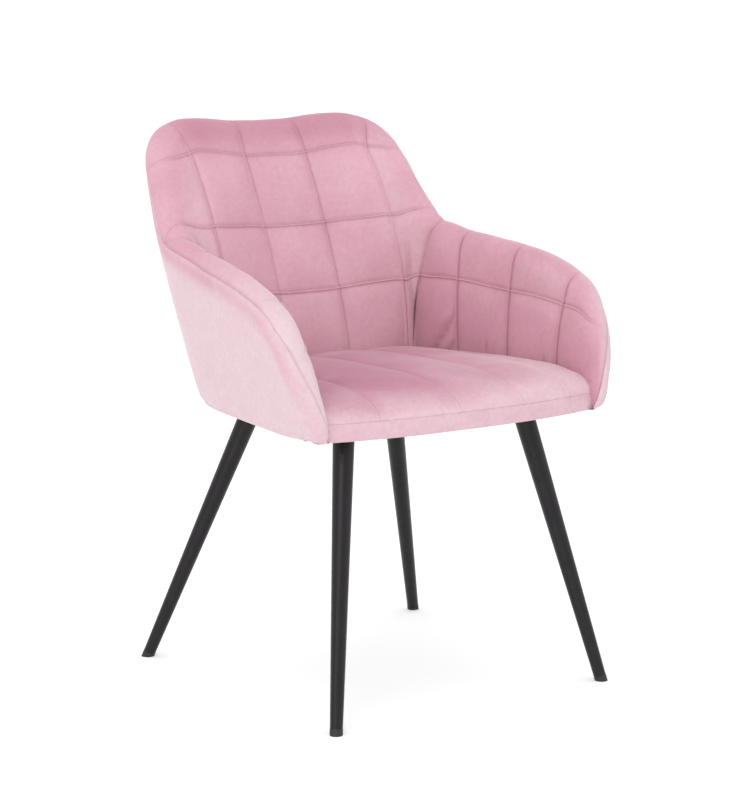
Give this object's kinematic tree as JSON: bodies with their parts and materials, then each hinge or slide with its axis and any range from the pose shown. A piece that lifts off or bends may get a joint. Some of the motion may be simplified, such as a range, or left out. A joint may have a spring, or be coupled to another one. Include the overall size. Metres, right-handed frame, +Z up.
{
  "type": "upholstered tub armchair",
  "caption": "Tub armchair with a quilted velvet shell that wraps back and arms, a padded seat and splayed tapered steel legs.",
  "frame": {"origin": "on the floor, under the middle of the chair's overall footprint", "axes": "+Z up, +X to the right of someone who faces the chair, -Y towards the front of the seat"},
  "size_m": [0.5918, 0.6103, 0.8237],
  "materials": {
    "velvet": "short-pile dusty pink velvet, soft sheen at grazing angles",
    "foam": "open-cell polyurethane foam, matt",
    "wadding": "white polyester wadding, matt",
    "dust_cloth": "black non-woven cloth, matt",
    "plywood": "raw sanded plywood",
    "black_steel": "satin charcoal black powder coat",
    "black_plastic": "matt black moulded plastic",
    "zinc_steel": "bright zinc plate"
  },
  "bodies": {
    "root": {"leg_front_left": "black_steel", "leg_front_right": "black_steel", "leg_rear_left": "black_steel", "leg_rear_right": "black_steel", "leg_plate_front_left": "black_steel", "leg_plate_front_right": "black_steel", "leg_plate_rear_left": "black_steel", "leg_plate_rear_right": "black_steel", "foot_glide_front_left": "black_plastic", "foot_glide_front_right": "black_plastic", "foot_glide_rear_left": "black_plastic", "foot_glide_rear_right": "black_plastic", "leg_bolts": "zinc_steel", "leg_bolt_washers": "zinc_steel", "t_nuts": "zinc_steel", "seat_board": "plywood", "back_core": "plywood", "left_arm_core": "plywood", "right_arm_core": "plywood", "core_screws": "zinc_steel", "corner_brackets": "zinc_steel", "bracket_screws": "zinc_steel", "back_foam": "foam", "left_arm_foam": "foam", "right_arm_foam": "foam", "seat_foam": "foam", "back_wadding": "wadding", "left_arm_wadding": "wadding", "right_arm_wadding": "wadding", "back_inner_cover": "velvet", "left_arm_inner_cover": "velvet", "right_arm_inner_cover": "velvet", "seat_cover": "velvet", "back_outer_cover": "velvet", "left_arm_outer_cover": "velvet", "right_arm_outer_cover": "velvet", "dust_cover": "dust_cloth", "staples": "zinc_steel"}
  },
  "joints": []
}
